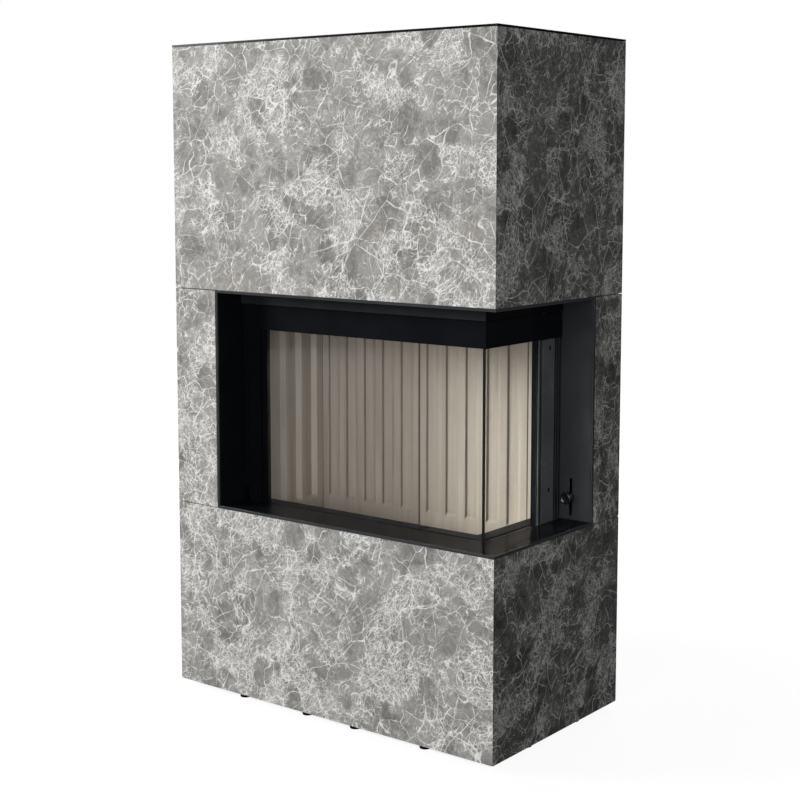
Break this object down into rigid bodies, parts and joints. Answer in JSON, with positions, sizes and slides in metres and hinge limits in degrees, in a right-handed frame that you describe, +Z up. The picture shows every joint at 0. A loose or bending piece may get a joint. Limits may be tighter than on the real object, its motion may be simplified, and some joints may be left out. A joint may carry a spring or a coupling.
{
  "type": "corner fireplace",
  "caption": "Free-standing stone-clad corner fireplace with an L-shaped glass door that slides up on chains, a fireclay-lined firebox, a smoke dome and an air lever.",
  "frame": {"origin": "on the floor, under the middle of the casing", "axes": "+Z up, the wide stone front faces -Y, the glazed side faces +X, and the two panes meet at the front right corner"},
  "size_m": [1.13, 0.622, 1.89],
  "materials": {
    "front_stone": "satin",
    "side_stone": "satin",
    "black_steel": "matte",
    "grey_steel": "matte",
    "zinc_steel": "satin",
    "cast_metal": "matte",
    "fireclay": "matte",
    "fire_glass": "gloss",
    "corner_seal": "matte"
  },
  "bodies": {
    "casing": {"front_slab_lower": "front_stone", "front_slab_column": "front_stone", "front_slab_upper": "front_stone", "side_slab_lower": "side_stone", "side_slab_column": "side_stone", "side_slab_upper": "side_stone", "left_slab_lower": "side_stone", "left_slab_middle": "side_stone", "left_slab_upper": "side_stone", "cover_plate": "black_steel", "base_frame": "black_steel", "recess_ledge": "black_steel", "ledge_access_plate": "black_steel", "recess_jamb_left": "black_steel", "recess_soffit": "black_steel", "lintel_cover": "black_steel", "side_fascia_strip": "black_steel", "guide_rail_left": "black_steel", "opening_trim": "grey_steel", "recess_jamb_right": "grey_steel", "front_fascia_strip": "grey_steel", "firebox_shell": "grey_steel", "firebox_head": "grey_steel", "firebox_rim": "grey_steel", "guide_rail_rear": "grey_steel", "rear_panel_lower": "zinc_steel", "rear_panel_upper": "zinc_steel", "casing_frame": "zinc_steel", "insert_stand": "zinc_steel", "air_duct": "zinc_steel", "pulley_bracket_left": "zinc_steel", "pulley_bracket_rear": "zinc_steel", "chain_weight_run_left": "zinc_steel", "chain_door_run_left": "zinc_steel", "chain_weight_run_rear": "zinc_steel", "chain_door_run_rear": "zinc_steel", "smoke_dome": "cast_metal", "flue_pipe": "cast_metal", "lining_back_left": "fireclay", "lining_back_right": "fireclay", "lining_filler": "fireclay", "lining_left": "fireclay", "lining_floor": "fireclay", "lining_curb": "fireclay", "baffle_plate": "fireclay"},
    "door": {"door_glass_front": "fire_glass", "door_glass_side": "fire_glass", "door_corner_seal": "corner_seal", "door_bottom_profile": "black_steel", "door_top_profile": "black_steel", "door_stile_left": "black_steel", "door_stile_rear": "grey_steel", "door_lock_lower": "black_steel", "door_lock_upper": "black_steel"},
    "counterweight_left": {"counterweight_left": "cast_metal"},
    "counterweight_rear": {"counterweight_rear": "cast_metal"},
    "pulley_left": {"pulley_left": "cast_metal"},
    "pulley_rear": {"pulley_rear": "cast_metal"},
    "air_control": {"air_lever": "black_steel", "air_knob": "black_steel"}
  },
  "joints": [
    {"name": "door_lift", "type": "slide", "parent": "casing", "child": "door", "axis": [0, 0, 1], "range_m": [0, 0.5], "deforming": ["chain_door_run_left", "chain_door_run_rear"]},
    {"name": "counterweight_left_slide", "type": "slide", "parent": "casing", "child": "counterweight_left", "axis": [0, 0, 1], "range_m": [-0.5, 0], "deforming": ["chain_weight_run_left"]},
    {"name": "counterweight_rear_slide", "type": "slide", "parent": "casing", "child": "counterweight_rear", "axis": [0, 0, 1], "range_m": [-0.5, 0], "deforming": ["chain_weight_run_rear"]},
    {"name": "pulley_left_spin", "type": "hinge", "parent": "casing", "child": "pulley_left", "pos_m": [-0.405, -0.198, 1.73], "axis": [0, 1, 0], "range_deg": [-477.96, 0]},
    {"name": "pulley_rear_spin", "type": "hinge", "parent": "casing", "child": "pulley_rear", "pos_m": [0.452, 0.147, 1.73], "axis": [1, 0, 0], "range_deg": [-477.96, 0]},
    {"name": "air_control", "type": "slide", "parent": "casing", "child": "air_control", "axis": [0, 0, 1], "range_m": [-0.045, 0.045]}
  ],
  "couplings": [
    {"joint": "counterweight_left_slide", "follows": "door_lift", "ratio": -1},
    {"joint": "counterweight_rear_slide", "follows": "door_lift", "ratio": -1},
    {"joint": "pulley_left_spin", "follows": "door_lift", "rad_per_m": -16.667},
    {"joint": "pulley_rear_spin", "follows": "door_lift", "rad_per_m": -16.667}
  ]
}
